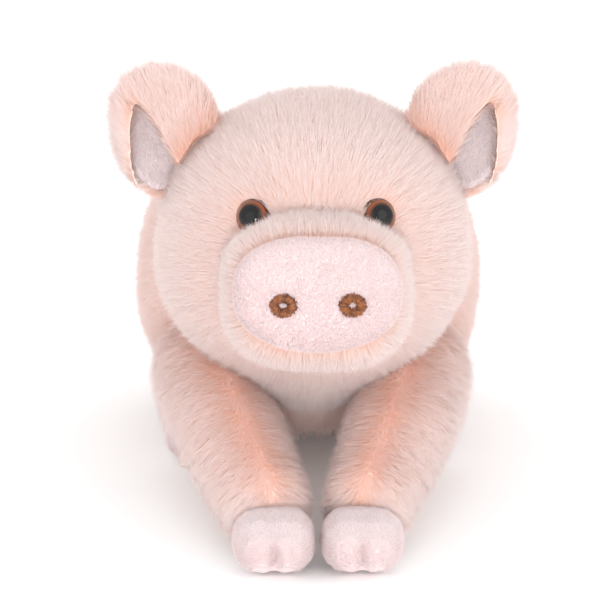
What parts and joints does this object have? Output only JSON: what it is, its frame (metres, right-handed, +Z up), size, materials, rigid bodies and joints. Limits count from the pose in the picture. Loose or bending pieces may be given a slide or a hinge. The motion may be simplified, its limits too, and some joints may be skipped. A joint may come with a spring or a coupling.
{
  "type": "plush pig",
  "caption": "Plush pig lying on its belly, long pale pink pile, velour snout disc and cloven hooves, brown safety eyes, folded ears and a curly tail.",
  "frame": {"origin": "middle of the flat of the belly that the pig rests on", "axes": "+Z up, -Y the way the pig faces, +X the pig's own left side"},
  "size_m": [0.164, 0.3246, 0.1793],
  "materials": {
    "fur": "long pile plush",
    "velour": "short pile velour",
    "filling": "fibre filling",
    "thread": "satin stitch",
    "eye_plastic": "gloss",
    "washer_plastic": "moulded",
    "label_cloth": "woven tape"
  },
  "bodies": {
    "torso": {"torso_cover": "fur", "torso_stuffing": "filling"},
    "head": {"head_cover": "fur", "head_stuffing": "filling", "muzzle_gusset": "fur", "snout_disc": "velour", "nostril_stitching_left": "thread", "nostril_stitching_right": "thread", "eye_left": "eye_plastic", "eye_right": "eye_plastic", "eye_washer_left": "washer_plastic", "eye_washer_right": "washer_plastic"},
    "tail": {"tail": "fur"},
    "ear_left": {"ear_shell_left": "fur", "ear_lining_left": "velour"},
    "foreleg_left": {"foreleg_cover_left": "fur", "foreleg_stuffing_left": "filling", "fore_hoof_left": "velour"},
    "hind_leg_left": {"hind_leg_cover_left": "fur", "hind_leg_stuffing_left": "filling", "hind_hoof_left": "velour"},
    "ear_right": {"ear_shell_right": "fur", "ear_lining_right": "velour"},
    "foreleg_right": {"foreleg_cover_right": "fur", "foreleg_stuffing_right": "filling", "fore_hoof_right": "velour"},
    "hind_leg_right": {"hind_leg_cover_right": "fur", "hind_leg_stuffing_right": "filling", "hind_hoof_right": "velour", "sewn_label": "label_cloth"}
  },
  "joints": [
    {"name": "head_turn", "type": "hinge", "parent": "torso", "child": "head", "pos_m": [0, -0.1, 0.104], "axis": [0, 0, 1], "range_deg": [-8, 8], "stiffness_Nm_per_rad": 0.15},
    {"name": "ear_flop_left", "type": "hinge", "parent": "head", "child": "ear_left", "pos_m": [0.048, -0.103, 0.144], "axis": [0.5855, 0, -0.8107], "range_deg": [-8, 20], "stiffness_Nm_per_rad": 0.01},
    {"name": "foreleg_splay_left", "type": "hinge", "parent": "torso", "child": "foreleg_left", "pos_m": [0.066, -0.052, 0.052], "axis": [0, 0, 1], "range_deg": [0, 22], "stiffness_Nm_per_rad": 0.08},
    {"name": "hind_leg_splay_left", "type": "hinge", "parent": "torso", "child": "hind_leg_left", "pos_m": [0.058, 0.062, 0.0255], "axis": [0, 0, 1], "range_deg": [0, 20], "stiffness_Nm_per_rad": 0.08},
    {"name": "ear_flop_right", "type": "hinge", "parent": "head", "child": "ear_right", "pos_m": [-0.048, -0.103, 0.144], "axis": [0.5855, 0, 0.8107], "range_deg": [-8, 20], "stiffness_Nm_per_rad": 0.01},
    {"name": "foreleg_splay_right", "type": "hinge", "parent": "torso", "child": "foreleg_right", "pos_m": [-0.066, -0.052, 0.052], "axis": [0, 0, -1], "range_deg": [0, 22], "stiffness_Nm_per_rad": 0.08},
    {"name": "hind_leg_splay_right", "type": "hinge", "parent": "torso", "child": "hind_leg_right", "pos_m": [-0.058, 0.062, 0.0255], "axis": [0, 0, -1], "range_deg": [0, 20], "stiffness_Nm_per_rad": 0.08},
    {"name": "tail_wag", "type": "hinge", "parent": "torso", "child": "tail", "pos_m": [0, 0.0911, 0.084], "axis": [0, 0, 1], "range_deg": [-15, 15], "stiffness_Nm_per_rad": 0.003}
  ]
}
